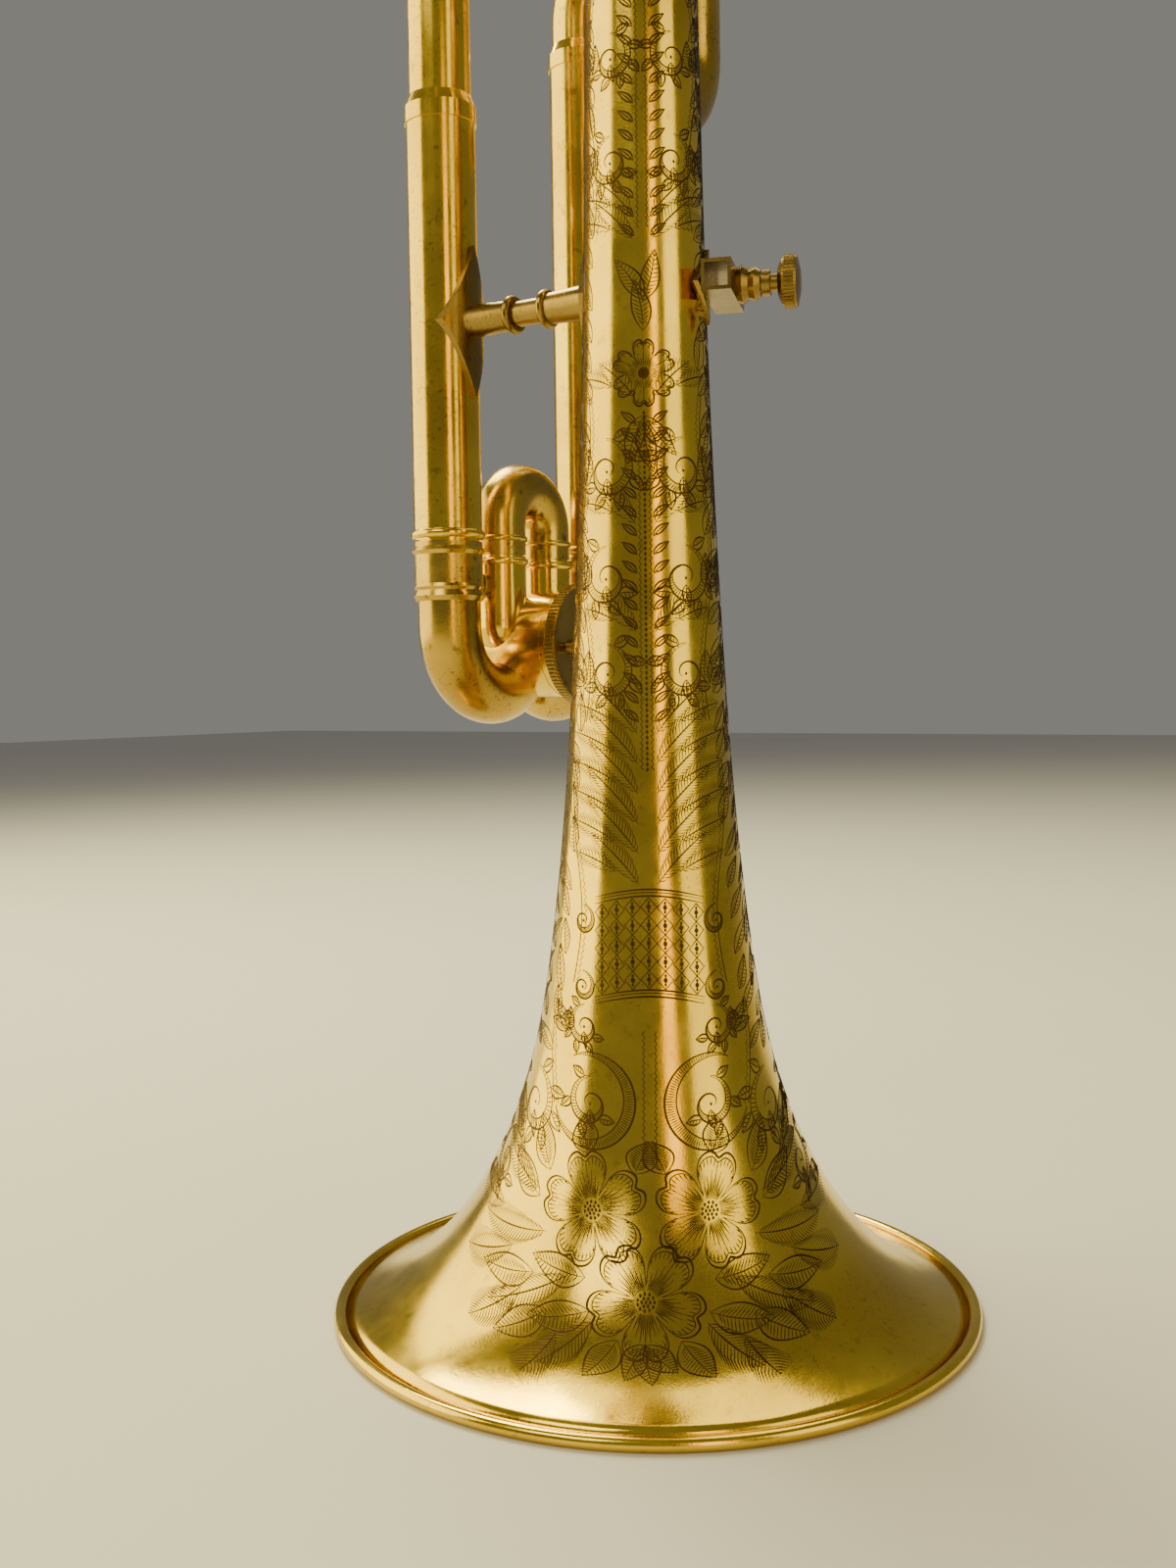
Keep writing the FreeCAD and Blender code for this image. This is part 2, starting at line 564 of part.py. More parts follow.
def change_loop():
    low, high = ROTARY_Y - LOOP_HALF, ROTARY_Y + LOOP_HALF
    start, top = LOOP_Z + GAP, LOOP_BEND_Z + LOOP_HALF
    points = [(LEAD_X, low, start), (LEAD_X, low, top), (LEAD_X, high, top), (LEAD_X, high, start)]
    shape = bent_tube(points, [LOOP_HALF, LOOP_HALF], LOOP_R, LOOP_R - 1.1)
    for y in (low, high):
        leg = tube((LEAD_X, y, LOOP_Z - 6.5), (LEAD_X, y, start + 2), LOOP_R - 0.5 - FIT, LOOP_R - 1.1)
        ring = bead((LEAD_X, y, start + 3.2), Z, LOOP_R - 0.2, 0.6)
        ring = ring.cut(rod((LEAD_X, y, start), (LEAD_X, y, start + 8), LOOP_R - 0.3))
        shape = shape.fuse([leg, ring])
    return shape


def slide_post():
    """The turned post between the upper ferrule and the loop's left leg."""
    z, y0, y1 = FERRULE_Z + 3.6, SLEEVE_R, ROTARY_Y - LOOP_HALF - LOOP_R
    middle = (y0 + y1) / 2
    shape = rod((LEAD_X, 3, z), (LEAD_X, y1 + 3, z), 1.7)
    shape = shape.fuse([bead((LEAD_X, middle - 0.8, z), Y, 1.7, 0.6),
                        bead((LEAD_X, middle + 0.8, z), Y, 1.7, 0.6)])
    ferrule = rod((LEAD_X, 0, z - 20), (LEAD_X, 0, z + 7), SLEEVE_R)
    leg = rod((LEAD_X, ROTARY_Y - LOOP_HALF, z - 20), (LEAD_X, ROTARY_Y - LOOP_HALF, z + 7), LOOP_R)
    return shape.cut([ferrule, leg])


KEY_Z, KEY_X = 131.0, LEAD_X - SLEEVE_R - 5.0   # the water key's pivot
PIN_R = 0.9
NIPPLE_Y, NIPPLE_Z = LOWER_Y - 2.5, 117.0


def water_key_mount():
    """The nipple on the lower bow and the pivot saddle on the lower ferrule."""
    nipple = tube((LEAD_X - 4, NIPPLE_Y, NIPPLE_Z), (KEY_X + 3.6, NIPPLE_Y, NIPPLE_Z), 2.4, 1.2)
    parts = []
    for y in (LOWER_Y - 4.3, LOWER_Y + 2.7):
        parts.append(Part.makeBox(9.0, 1.6, 4.4, V(KEY_X - 2.2, y, KEY_Z - 2.2)))
    pin = rod((KEY_X, LOWER_Y - 4.3, KEY_Z), (KEY_X, LOWER_Y + 4.3, KEY_Z), PIN_R)
    ferrule = rod((LEAD_X, LOWER_Y, KEY_Z - 8), (LEAD_X, LOWER_Y, KEY_Z + 8), SLEEVE_R)
    bow = half_bow_envelope()
    return Part.makeCompound([nipple.cut(bow), parts[0].fuse([parts[1], pin]).cut(ferrule)])


def half_bow_envelope():
    return bar(half_bow_points(LOWER_Y, -1), [BOW_R], TUBE_R)


def water_key():
    """The lever with its hub on the pin, its thumb button and the cup for the cork."""
    y, lever_x, top = LOWER_Y, KEY_X - 2.6, KEY_Z + 17
    points = [(KEY_X - 1.4, NIPPLE_Y, NIPPLE_Z - 2.5), (lever_x, y - 1.2, KEY_Z - 6),
              (lever_x, y, KEY_Z + 8), (lever_x - 0.8, y, top)]
    hub = rod((KEY_X, y - 2.4, KEY_Z), (KEY_X, y + 2.4, KEY_Z), 2.0)
    button = Part.makeSphere(3.0, V(lever_x - 0.8, y, top))
    cup = rod((KEY_X + 0.2, NIPPLE_Y, NIPPLE_Z), (KEY_X - 2.0, NIPPLE_Y, NIPPLE_Z), 3.2)
    shape = hub.fuse([bar(points, [10, 10], 1.3), button, cup])
    return shape.cut(rod((KEY_X, y - 5, KEY_Z), (KEY_X, y + 5, KEY_Z), PIN_R + FIT))


def water_key_cork():
    return rod((KEY_X + 3.5, NIPPLE_Y, NIPPLE_Z), (KEY_X + 0.2, NIPPLE_Y, NIPPLE_Z), 2.7)


def mouthpiece():
    outline = [(0, 4.9), (27, 5.3), (28, 6.1), (31, 6.4), (33, 5.6), (38, 5.2), (48, 6.4), (58, 8.8),
               (66, 11.2), (72, 12.3), (76, 12.4), (78, 13.3), (84, 13.7), (86.2, 13.2), (87, 11.6),
               (87, 9.6), (86.2, 8.6), (84, 8.1), (80, 7.2), (77, 5.6), (75.6, 3.6), (74.5, 1.9),
               (68, 1.85), (20, 3.6), (0, 4.3)]
    return revolved(outline, (LEAD_X, 0, SHANK_Z))


# soldered pieces that are fitted to what they sit on
FITTED = {
    "bell_bow_ferrule": ("bell_tail",),
    "front_brace": ("bell_tail", "outer_slide_tubes"),
    "rear_brace": ("bell_tail", "leadpipe"),
    "valve_braces": ("bell_tail", "leadpipe"),
    "lyre_box": ("bell_tail",),
    "slide_post": ("slide_ferrules", "loop_sleeves"),
    "water_key_mount": ("slide_ferrules", "lower_bow"),
    "third_slide_tubes": ("valve_casing_3", "valve_bottom_cap_3"),
    "third_valve_tube": ("outer_slide_tubes",),
}


def build_all():
    nodes = {
        "bell": bell(),
        "bell_tail": bell_tail(),
        "bell_bow": bell_bow(),
        "bell_bow_ferrule": bell_bow_ferrule(),
        "leadpipe": leadpipe(),
        "mouthpiece_receiver": mouthpiece_receiver(),
        "outer_slide_tubes": Part.makeCompound([slide_sleeve(0, UPPER_TOP),
                                                slide_sleeve(LOWER_Y, LOWER_TOP)]),
        "third_valve_tube": third_valve_tube(),
        "front_brace": brace(FRONT_BRACE_Z, LEAD_X, SLEEVE_R, 0, BELL_AT_FRONT, 28.0, 12.0),
        "rear_brace": brace(REAR_BRACE_Z, LEAD_X, PIPE_AT_REAR, 0, BELL_AT_REAR, 20.0, 10.0),
        "valve_braces": Part.makeCompound([short_brace(LEAD_X, VALVE_X), short_brace(VALVE_X, 0)]),
        "lyre_box": lyre_box(),
        "lyre_screw": lyre_screw(),
        "finger_hook": finger_hook(),
        "crossover_tubes": crossover_tubes(),
        "first_slide_tubes": first_slide_tubes(),
        "first_slide_bow": first_slide_bow(),
        "second_slide_tubes": second_slide_tubes(),
        "second_slide_bow": second_slide_bow(),
        "third_slide_tubes": third_slide_tubes(),
        "third_slide_bow": third_slide_bow(),
        "third_slide_ring": third_slide_ring(),
        "slide_legs": Part.makeCompound([slide_leg(0), slide_leg(LOWER_Y)]),
        "slide_ferrules": Part.makeCompound([slide_ferrule(0), slide_ferrule(LOWER_Y)]),
        "upper_bow": half_bow(0, 1),
        "lower_bow": half_bow(LOWER_Y, -1),
        "rotary_barrel": rotary_barrel(),
        "rotary_end_cap": rotary_end_cap(),
        "rotary_front_plate": rotary_front_plate(),
        "rotor": rotor(),
        "change_wheel": change_wheel(),
        "wheel_stud": wheel_stud(),
        "loop_sleeves": loop_sleeves(),
        "change_loop": change_loop(),
        "slide_post": slide_post(),
        "water_key_mount": water_key_mount(),
        "water_key": water_key(),
        "water_key_cork": water_key_cork(),
        "mouthpiece": mouthpiece(),
    }
    makers = {"valve_casing": valve_casing, "valve_top_cap": valve_top_cap,
              "valve_bottom_cap": valve_bottom_cap, "valve_piston": valve_piston,
              "valve_spring": valve_spring, "finger_button": valve_button,
              "button_pearl": button_pearl}
    for number, z in enumerate(VALVE_Z, start=1):
        for name, maker in makers.items():
            nodes["%s_%d" % (name, number)] = maker(z)
    for name, seats in FITTED.items():
        for seat in seats:
            nodes[name] = nodes[name].cut(nodes[seat])
    return nodes


os.makedirs("parts", exist_ok=True)
for node, solid in build_all().items():
    if not solid.isValid() or not solid.Solids:
        print("not a valid solid:", node)
    solid.exportStep("parts/%s.step" % node)
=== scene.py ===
import json
import math
import random

import bpy
import numpy as np
from mathutils import Matrix, Vector


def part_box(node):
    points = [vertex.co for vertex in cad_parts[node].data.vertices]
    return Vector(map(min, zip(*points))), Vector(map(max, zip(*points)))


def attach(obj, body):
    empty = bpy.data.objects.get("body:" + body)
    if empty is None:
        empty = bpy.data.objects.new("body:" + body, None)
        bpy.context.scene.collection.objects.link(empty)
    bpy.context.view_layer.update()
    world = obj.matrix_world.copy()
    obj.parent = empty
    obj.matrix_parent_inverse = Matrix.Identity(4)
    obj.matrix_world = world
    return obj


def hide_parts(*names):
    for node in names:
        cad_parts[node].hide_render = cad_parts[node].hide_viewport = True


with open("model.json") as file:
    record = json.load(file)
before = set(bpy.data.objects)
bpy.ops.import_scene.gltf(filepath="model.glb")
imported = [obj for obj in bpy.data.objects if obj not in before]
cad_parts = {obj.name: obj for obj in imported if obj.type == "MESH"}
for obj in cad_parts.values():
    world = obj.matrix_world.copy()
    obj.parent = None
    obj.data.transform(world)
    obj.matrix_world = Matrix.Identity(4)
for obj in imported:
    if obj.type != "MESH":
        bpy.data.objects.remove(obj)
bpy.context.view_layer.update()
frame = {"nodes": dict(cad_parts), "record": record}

MM = 0.001
FRONT = math.radians(-60.5)     # direction from the bell's axis to the middle of its engraving


# ---------------------------------------------------------------- materials
def new_material(name):
    material = bpy.data.materials.new(name)
    material.use_nodes = True
    nodes = material.node_tree.nodes
    return material, nodes, material.node_tree.links, nodes["Principled BSDF"]


def noise(nodes, links, coords, scale, detail=3.0, stretch=(1, 1, 1)):
    mapping = nodes.new("ShaderNodeMapping")
    mapping.inputs["Scale"].default_value = stretch
    texture = nodes.new("ShaderNodeTexNoise")
    texture.inputs["Scale"].default_value = scale
    texture.inputs["Detail"].default_value = detail
    links.new(coords, mapping.inputs["Vector"])
    links.new(mapping.outputs["Vector"], texture.inputs["Vector"])
    return texture.outputs["Fac"]


def ranged(nodes, links, value, low, high, to_low=0.0, to_high=1.0):
    node = nodes.new("ShaderNodeMapRange")
    node.inputs["From Min"].default_value = low
    node.inputs["From Max"].default_value = high
    node.inputs["To Min"].default_value = to_low
    node.inputs["To Max"].default_value = to_high
    links.new(value, node.inputs["Value"])
    return node.outputs["Result"]


def blended(nodes, links, factor, first, second):
    node = nodes.new("ShaderNodeMix")
    node.data_type = "RGBA"
    links.new(factor, node.inputs["Factor"])
    for socket, colour in ((node.inputs[6], first), (node.inputs[7], second)):
        if isinstance(colour, tuple):
            socket.default_value = (*colour, 1)
        else:
            links.new(colour, socket)
    return node.outputs[2]


def product(nodes, links, first, second):
    node = nodes.new("ShaderNodeMath")
    node.operation = "MULTIPLY"
    links.new(first, node.inputs[0])
    links.new(second, node.inputs[1])
    return node.outputs[0]


def metal(name, colour, deep, tarnish, spots=0.3, shine=(0.16, 0.30), grain=0.04):
    """Bare metal: slow colour drift, dark speckle in patches, fine wiping scratches."""
    material, nodes, links, shader = new_material(name)
    coords = nodes.new("ShaderNodeTexCoord").outputs["Object"]
    drift = ranged(nodes, links, noise(nodes, links, coords, 38), 0.35, 0.68)
    patches = ranged(nodes, links, noise(nodes, links, coords, 75, 4), 0.42, 0.62)
    speck = ranged(nodes, links, noise(nodes, links, coords, 1500, 2), 0.60, 0.68)
    coarse = ranged(nodes, links, noise(nodes, links, coords, 420, 5), 0.62, 0.72)
    dots = product(nodes, links, speck, patches)
    body = blended(nodes, links, drift, colour, deep)
    body = blended(nodes, links, ranged(nodes, links, dots, 0, 1, 0, spots), body, tarnish)
    stain = ranged(nodes, links, coarse, 0, 1, 0, spots * 0.8)
    body = blended(nodes, links, stain, body, tarnish)
    links.new(body, shader.inputs["Base Color"])
    rough = noise(nodes, links, coords, 160, 5)
    links.new(ranged(nodes, links, rough, 0.3, 0.72, *shine), shader.inputs["Roughness"])
    scratch = noise(nodes, links, coords, 900, 2, (1, 1, 0.05))
    pits = noise(nodes, links, coords, 2600, 2)
    bump = nodes.new("ShaderNodeBump")
    bump.inputs["Strength"].default_value = grain
    bump.inputs["Distance"].default_value = 0.0002
    added = nodes.new("ShaderNodeMath")
    links.new(scratch, added.inputs[0])
    links.new(pits, added.inputs[1])
    links.new(added.outputs[0], bump.inputs["Height"])
    links.new(bump.outputs["Normal"], shader.inputs["Normal"])
    shader.inputs["Metallic"].default_value = 1.0
    return material


def soft(name, colour, dark, scale, roughness, bump_strength):
    """Felt, cork and pearl: a two-colour grain with a matching bump."""
    material, nodes, links, shader = new_material(name)
    coords = nodes.new("ShaderNodeTexCoord").outputs["Object"]
    grain = ranged(nodes, links, noise(nodes, links, coords, scale, 6), 0.35, 0.65)
    links.new(blended(nodes, links, grain, dark, colour), shader.inputs["Base Color"])
    bump = nodes.new("ShaderNodeBump")
    bump.inputs["Strength"].default_value = bump_strength
    bump.inputs["Distance"].default_value = 0.0002
    links.new(grain, bump.inputs["Height"])
    links.new(bump.outputs["Normal"], shader.inputs["Normal"])
    shader.inputs["Roughness"].default_value = roughness
    return material


TARNISH = (0.10, 0.055, 0.022)
finishes = {
    "bell_brass": metal("bell_brass", (0.84, 0.59, 0.06), (0.62, 0.41, 0.035), TARNISH, 0.30, (0.12, 0.22)),
    "brass": metal("plain_brass", (0.84, 0.59, 0.06), (0.60, 0.38, 0.03), TARNISH, 0.5, (0.12, 0.23)),
    "tarnished_brass": metal("tarnished_brass", (0.62, 0.42, 0.06), (0.36, 0.22, 0.035), TARNISH, 0.85,
                             (0.16, 0.32), 0.08),
    "dark_brass": metal("dark_brass", (0.34, 0.23, 0.055), (0.19, 0.12, 0.03), TARNISH, 0.6,
                        (0.20, 0.36), 0.10),
    "nickel": metal("nickel", (0.68, 0.66, 0.61), (0.58, 0.55, 0.49), (0.2, 0.17, 0.13), 0.2),
    "spring_steel": metal("spring_steel", (0.42, 0.42, 0.43), (0.3, 0.3, 0.31), (0.1, 0.09, 0.08), 0.3),
    "silver_plate": metal("silver_plate", (0.83, 0.81, 0.76), (0.72, 0.69, 0.62), (0.25, 0.21, 0.15), 0.25,
                          (0.08, 0.18)),
    "pearl": soft("pearl", (0.93, 0.91, 0.88), (0.72, 0.76, 0.78), 300, 0.18, 0.05),
    "felt": soft("felt", (0.34, 0.03, 0.03), (0.16, 0.01, 0.01), 2500, 0.95, 0.9),
    "cork": soft("cork", (0.58, 0.40, 0.23), (0.30, 0.18, 0.09), 1400, 0.85, 0.7),
}
for row in frame["record"]["subparts"]:
    node = frame["nodes"][row["node"]]
    node.data.materials.clear()
    node.data.materials.append(finishes[row["material_slot"]])
# The engraved lines' near-black brown is painted shade: it stands for the shade inside real cut grooves,
# which these raised ridges don't have.
engraved = metal("engraved_lines_painted_shade", (0.085, 0.048, 0.010), (0.05, 0.028, 0.007), TARNISH, 0.3, (0.32, 0.45))


# ---------------------------------------------------------------- the bell's surface
BELL_NODES = ("bell", "bell_tail")
SHEET = 0.6                     # thickness of the bell's sheet, mm
RIM_CLEAR = 2.4                 # the rolled rim's bead is below this height, mm
RIM_WIRE = 1.13                 # radius of the rolled rim, mm
LIP_IN, LIP_UP = 1.2, 0.9       # the sheet's edge inside the rolled rim, from the rim's outside, mm
BOLD = 2.1                      # width and relief of every engraved line against its drawn value
SUNK = 0.01                     # how far an engraved line's edges lie under the surface, mm


def outer_points():
    """(height, radius) in mm of the CAD bell's outer vertices, from the rim up."""
    found = {}
    for node in BELL_NODES:
        for vertex in frame["nodes"][node].data.vertices:
            place = vertex.co
            radius = math.hypot(place.x, place.y)
            outward = (vertex.normal.x * place.x + vertex.normal.y * place.y) / radius
            if outward > 0.25 and place.z > RIM_CLEAR * MM:
                found.setdefault(round(place.z / MM, 1), []).append((place.z / MM, radius / MM))
    rows = np.array([np.mean(found[key], axis=0) for key in sorted(found)])
    return rows[:, 0], rows[:, 1]


def bell_profile():
    """Heights, radii and outward normals along the bell's outer line, finely and smoothly spaced."""
    z, r = outer_points()
    slope = np.gradient(r, z)
    flare, throat = np.arange(z[0], 30, 0.25), np.arange(30, 110, 1.0)
    heights = np.concatenate([flare, throat, np.arange(110, z[-1], 3.0), z[-1:]])
    k = np.clip(np.searchsorted(z, heights, side="right") - 1, 0, len(z) - 2)
    gap = z[k + 1] - z[k]
    t = (heights - z[k]) / gap
    radii = ((2 * t ** 3 - 3 * t ** 2 + 1) * r[k] + (t ** 3 - 2 * t ** 2 + t) * gap * slope[k]
             + (3 * t ** 2 - 2 * t ** 3) * r[k + 1] + (t ** 3 - t ** 2) * gap * slope[k + 1])
    lean = np.gradient(radii, heights)
    size = np.hypot(1, lean)
    return heights, radii, 1 / size, -lean / size


heights, radii, normals_r, normals_z = bell_profile()
climbs = np.concatenate([[0.0], np.cumsum(np.hypot(np.diff(heights), np.diff(radii)))])


def climb_at(z):
    """Length along the bell's outer line, in mm, from its lower end to a height."""
    return float(np.interp(z, heights, climbs))


def link_mesh(name, vertices, faces, material, body):
    mesh = bpy.data.meshes.new(name)
    mesh.from_pydata([tuple(v) for v in vertices], [], faces)
    mesh.materials.append(material)
    mesh.polygons.foreach_set("use_smooth", [True] * len(mesh.polygons))
    piece = bpy.data.objects.new(name, mesh)
    bpy.context.collection.objects.link(piece)
    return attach(piece, body)


def lathe(name, outline, centre, axis, body, slot_name, segments=64):
    """A turned piece: outline is a closed list of (along, radius) in mm."""
    turn = Vector((0, 0, 1)).rotation_difference(Vector(axis)).to_matrix()
    middle = Vector(centre)
    vertices, faces = [], []
    n = len(outline)
    for i in range(segments):
        a = 2 * math.pi * i / segments
        for along, r in outline:
            vertices.append(middle + turn @ (Vector((r * math.cos(a), r * math.sin(a), along)) * MM))
    for i in range(segments):
        k = (i + 1) % segments
        faces.extend((i * n + j, k * n + j, k * n + (j + 1) % n, i * n + (j + 1) % n) for j in range(n))
    return link_mesh(name, vertices, faces, finishes[slot_name], body)


def bell_shell():
    """The whole bell as one smooth sheet, from inside its rolled rim to its bow."""
    low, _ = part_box("bell")
    outer = list(zip(heights, radii))
    inner = [(z - nz * SHEET, r - nr * SHEET)
             for z, r, nr, nz in list(zip(heights, radii, normals_r, normals_z))[::3]]
    lip = (LIP_UP, -low.y / MM - LIP_IN)
    outline = [lip] + outer + [(outer[-1][0], outer[-1][1] - SHEET)] + inner[::-1]
    shell = lathe("bell_shell", outline, (0, 0, 0), (0, 0, 1), "body", "bell_brass", 160)
    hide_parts(*BELL_NODES)


def rim_roll():
    """The rolled rim of the bell's mouth."""
    low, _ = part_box("bell")
    centre = -low.y / MM - RIM_WIRE
    outline = [(RIM_WIRE + RIM_WIRE * math.sin(a), centre + RIM_WIRE * math.cos(a))
               for a in np.linspace(0, 2 * math.pi, 20, endpoint=False)]
    lathe("rim_roll", outline, (0, 0, 0), (0, 0, 1), "body", "bell_brass", 192)


class Strokes:
    """Engraved lines on the bell as low ridges, gathered into one mesh."""

    def __init__(self, name):
        self.name, self.vertices, self.faces = name, [], []

    def line(self, points, width=0.16, height=0.035, taper=True):
        """points are (across, climb) pairs in mm; across is measured from the front line."""
        path = np.array(points, float)
        width, height = width * BOLD, height * BOLD
        along = np.gradient(path, axis=0)
        length = np.maximum(np.hypot(along[:, 0], along[:, 1]), 1e-9)
        side = np.stack([-along[:, 1], along[:, 0]], 1) / length[:, None]
        share = np.linspace(0, 1, len(path))
        swell = np.sin(np.pi * np.clip(share, 0.04, 0.96)) ** 0.5 if taper else np.ones(len(path))
        first = len(self.vertices)
        for offset, rise in ((-0.5, -SUNK), (0.0, height), (0.5, -SUNK)):
            row = path + side * (offset * width * swell)[:, None]
            self.vertices.extend(self.lifted(row, rise))
        n = len(path)
        for strip in (0, 1):
            a = first + strip * n
            self.faces.extend((a + i, a + i + 1, a + n + i + 1, a + n + i) for i in range(n - 1))

    def lifted(self, row, rise):
        """Points of the bell's surface in metres, raised along its normal."""
        across, climb = row[:, 0], row[:, 1]
        radius = np.interp(climb, climbs, radii)
        angle = FRONT + across / radius
        radius = radius + rise * np.interp(climb, climbs, normals_r)
        height = np.interp(climb, climbs, heights) + rise * np.interp(climb, climbs, normals_z)
        return np.stack([radius * np.cos(angle), radius * np.sin(angle), height], 1) * MM

    def dot(self, x, y, radius=0.16):
        self.line([(x - radius, y), (x, y), (x + radius, y)], radius * 1.8, 0.045)

    def finish(self, material):
        link_mesh(self.name, self.vertices, self.faces, material, "body")


# ---------------------------------------------------------------- ornament
FINE, SHALLOW = 0.11, 0.025     # width and relief of hatching, as drawn, mm
CURL = 0.84                     # share of its radius that a scroll winds in


def across_line(strokes, start, end):
    """One short hatch from start to end."""
    middle = ((start[0] + end[0]) / 2, (start[1] + end[1]) / 2)
    strokes.line([start, middle, end], FINE, SHALLOW)


def polar(cx, cy, radius, angle):
    return cx + radius * math.cos(angle), cy + radius * math.sin(angle)


def crescent(strokes, cx, cy, radius, start, sweep, thick=0.3):
    """A C-shaped band, widest in its middle, filled with cross hatching."""
    angles = np.linspace(start, start + sweep, int(abs(sweep) * radius / 0.5) + 6)
    swell = np.sin(np.linspace(0, math.pi, len(angles)))
    outer = [polar(cx, cy, radius, a) for a in angles]
    inner = [polar(cx, cy, radius * (1 - thick * b), a) for a, b in zip(angles, swell)]
    strokes.line(outer, 0.19)
    strokes.line(inner, 0.14)
    for one, other in list(zip(outer, inner))[2:-2]:
        across_line(strokes, one, other)


def spiral(strokes, cx, cy, radius, start, turns):
    """A C-scroll: a curling double line with hatching across its band."""
    outer, inner = [], []
    count = int(34 * abs(turns)) + 10
    for share in np.linspace(0, 1, count):
        angle = start + share * turns * 2 * math.pi
        r = radius * (1 - CURL * share)
        band = 0.04 + 0.24 * math.sin(math.pi * min(share * 1.7, 1.0))
        outer.append(polar(cx, cy, r, angle))
        inner.append(polar(cx, cy, r - radius * band, angle))
    strokes.line(outer, 0.19)
    strokes.line(inner[:int(count * 0.7)], 0.13)
    strokes.dot(cx, cy, 0.2)
    for one, other in list(zip(outer, inner))[2:int(count * 0.58)]:
        across_line(strokes, one, other)


def leaf(strokes, x, y, angle, length, width, mirror=1, hatches=9, both_sides=False):
    """A pointed leaf with a midrib and hatching, from its stem at x, y."""
    ca, sa = math.cos(angle), math.sin(angle)

    def place(along, across):
        bend = across + mirror * 0.18 * length * (along / length) ** 2
        return x + along * ca - bend * sa, y + along * sa + bend * ca

    shares = np.linspace(0, 1, 12)
    for side in (-1, 1):
        edge = [place(length * s, side * width / 2 * math.sin(math.pi * s ** 0.85)) for s in shares]
        strokes.line(edge, 0.17)
    strokes.line([place(length * s, 0) for s in shares], 0.12)
    for s in np.linspace(0.12, 0.86, hatches):
        reach = width / 2 * math.sin(math.pi * s ** 0.85) * 0.9
        for side in ((-1, 1) if both_sides else (mirror,)):
            across_line(strokes, place(length * s, 0), place(length * (s + 0.10), side * reach))


def acanthus(strokes, cx, cy, radius, start, turns, lobes=6):
    """A scroll with a fringe of small hatched lobes on the outside of its curl."""
    spiral(strokes, cx, cy, radius, start, turns)
    for share in np.linspace(0.03, 0.46, lobes):
        angle = start + share * turns * 2 * math.pi
        x, y = polar(cx, cy, radius * (1 - CURL * share), angle)
        leaf(strokes, x, y, angle + math.copysign(1.0, turns), radius * 0.62, radius * 0.34,
             -int(math.copysign(1, turns)), 5)
    leaf(strokes, cx, cy - radius * 0.2, start + math.pi, radius * 0.7, radius * 0.3, 1, 4)


def feather(strokes, x, y, angle, length, width, bend=0.2):
    """A curved rib with long fine barbs on both sides."""
    ca, sa = math.cos(angle), math.sin(angle)

    def place(along, across):
        across += bend * length * (along / length) ** 2
        return x + along * ca - across * sa, y + along * sa + across * ca

    strokes.line([place(length * s, 0) for s in np.linspace(0, 1, 12)], 0.15)
    for s in np.linspace(0.04, 0.97, int(length / 0.7)):
        reach = width / 2 * math.sin(math.pi * s ** 0.7)
        for side in (-1, 1):
            strokes.line([place(length * s, 0), place(length * s + reach * 0.55, side * reach * 0.6),
                          place(length * s + reach * 1.3, side * reach)], FINE, SHALLOW)


def petal_edge(share):
    """Radius of a petal's notched edge against the flower's, from one side (-1) to the other (1)."""
    return 0.30 + 0.70 * math.sqrt(1 - min(abs(share), 1) ** 3) - 0.12 * math.exp(-(share / 0.15) ** 2)


def flower(strokes, x, y, radius, petals=5, turn=0.3):
    """An open flower: notched double petals, ribs from the middle, a stippled centre."""
    half = math.pi / petals
    ribs = 13 if radius > 6 else 5
    for k in range(petals):
        middle = turn + k * 2 * half
        for scale, width in ((1.0, 0.21), (0.91, 0.12)):
            strokes.line([polar(x, y, radius * scale * petal_edge(s), middle + half * 0.98 * s)
                          for s in np.linspace(-1, 1, 27)], width)
        for n, s in enumerate(np.linspace(-0.78, 0.78, ribs)):
            reach = 0.76 - 0.34 * abs(s) - 0.16 * (n % 2)
            across_line(strokes, polar(x, y, 0.2 * radius, middle + half * s),
                        polar(x, y, reach * radius, middle + half * s * 0.85))
        for s in np.linspace(-0.8, 0.8, ribs):
            top = radius * petal_edge(s) * 0.91
            across_line(strokes, polar(x, y, top, middle + half * s),
                        polar(x, y, top * 0.84, middle + half * s))
    for ring, count in ((0.0, 1), (0.07, 6), (0.14, 11)):
        for i in range(count):
            strokes.dot(*polar(x, y, ring * radius, i * 2 * math.pi / count), 0.2)


def wriggle(strokes, points, step=0.55, swing=0.35, width=0.10):
    """A wriggle-cut zigzag along a path."""
    path = np.array(points, float)
    gaps = np.hypot(*np.diff(path, axis=0).T)
    walked = np.concatenate([[0], np.cumsum(gaps)])
    count = max(int(walked[-1] / step), 3)
    at = np.linspace(0, walked[-1], count)
    x, y = np.interp(at, walked, path[:, 0]), np.interp(at, walked, path[:, 1])
    dx, dy = np.gradient(x), np.gradient(y)
    size = np.maximum(np.hypot(dx, dy), 1e-9)
    sign = np.where(np.arange(count) % 2, 1, -1) * swing
    strokes.line(list(zip(x - dy / size * sign, y + dx / size * sign)), width, 0.03, taper=False)


# (distance from the front line, height, radius, turn) of each flower on the flare
BLOOMS = ((-9.6, 25.5, 9.4, 0.5), (9.8, 25.5, 9.4, 0.1), (-0.6, 14.0, 9.6, 0.94))
# (lean from upright in degrees, length, height, distance from the front line) of each pair of feathers
FEATHERS = ((100, 17, 21.5, 18), (122, 17, 16.5, 13.5), (72, 15, 27, 20), (140, 12, 11.5, 9),
            (112, 14, 18.5, 25), (88, 14, 23, 29), (132, 13, 14.0, 22), (150, 9, 9.6, 15), (60, 12, 31, 25))
